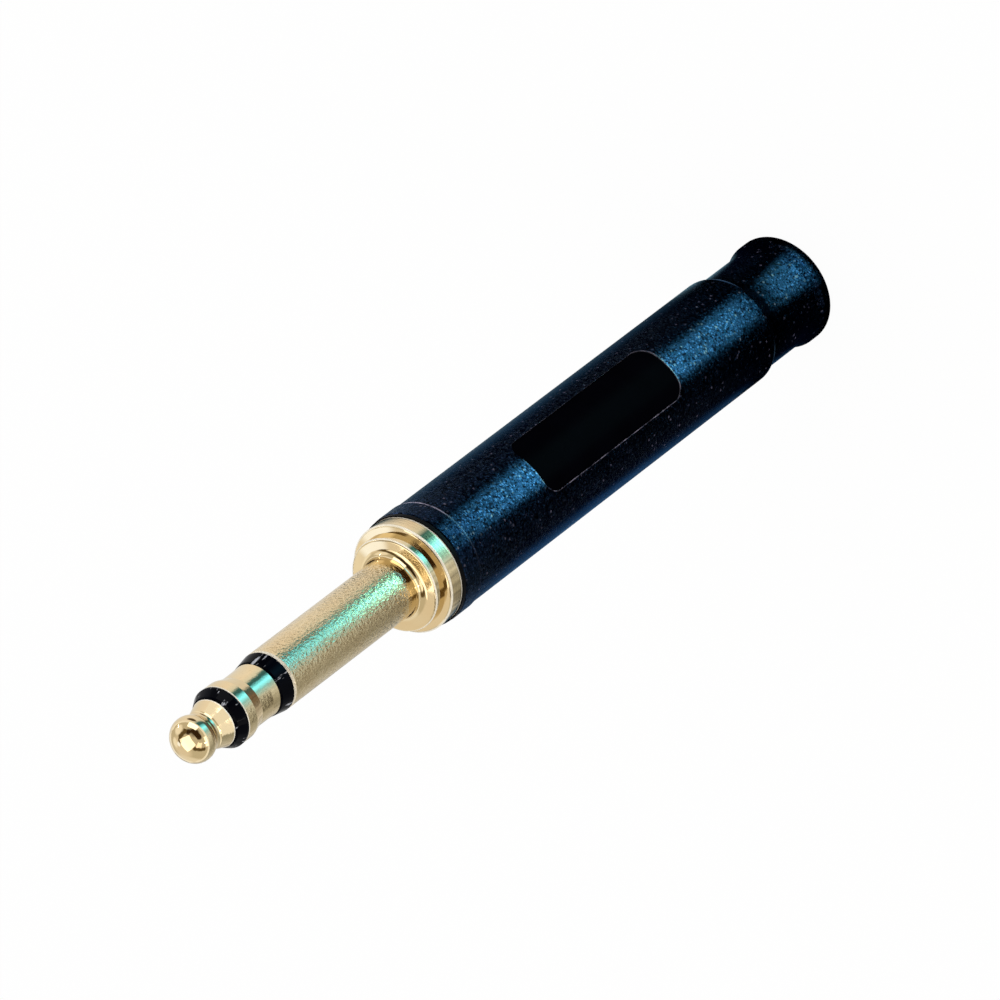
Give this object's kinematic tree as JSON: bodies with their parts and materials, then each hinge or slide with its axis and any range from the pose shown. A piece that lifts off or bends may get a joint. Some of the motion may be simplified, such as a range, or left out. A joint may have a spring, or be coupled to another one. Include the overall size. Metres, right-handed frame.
{
  "type": "stereo jack plug",
  "caption": "Slim stereo jack plug: gold-plated finger with ball tip, ring and sleeve parted by black insulating rings, on a dark textured screw-on shell with a cable hole.",
  "frame": {"origin": "centre of the tail rim, the end that the cable enters", "axes": "+Z along the plug's axis from the tail to the ball tip, -Y through the middle of the shell's bare label panel"},
  "size_m": [0.0082, 0.0082, 0.0717],
  "materials": {
    "textured_black": "fine textured dark paint with a bluish sparkle",
    "black_nylon": "moulded",
    "gold_plate": "turned and gold plated",
    "black_gloss": "turned, glossy",
    "bare_brass": "drawn",
    "white_tube": "extruded",
    "clear_liner": "extruded, milky",
    "tinned_lug": "stamped and tin plated"
  },
  "bodies": {
    "shell": {"shell": "textured_black"},
    "contacts": {"collar_washer": "black_nylon", "sleeve_contact": "gold_plate", "ring_insulator": "black_gloss", "ring_contact": "gold_plate", "ring_tube": "bare_brass", "tube_insulation": "white_tube", "tip_insulator": "black_gloss", "tip_contact": "gold_plate", "centre_rod": "bare_brass", "rod_insulation": "white_tube", "rear_bush": "black_nylon", "ring_lug": "tinned_lug", "lug_spacer": "black_nylon", "tip_lug": "tinned_lug", "rivet_washer": "bare_brass", "ground_lug": "tinned_lug", "crimp_ferrule": "tinned_lug", "liner": "clear_liner"}
  },
  "joints": [
    {"name": "shell_draw", "type": "slide", "parent": "shell", "child": "contacts", "axis": [0, 0, 1], "range_m": [0, 0.036]}
  ]
}
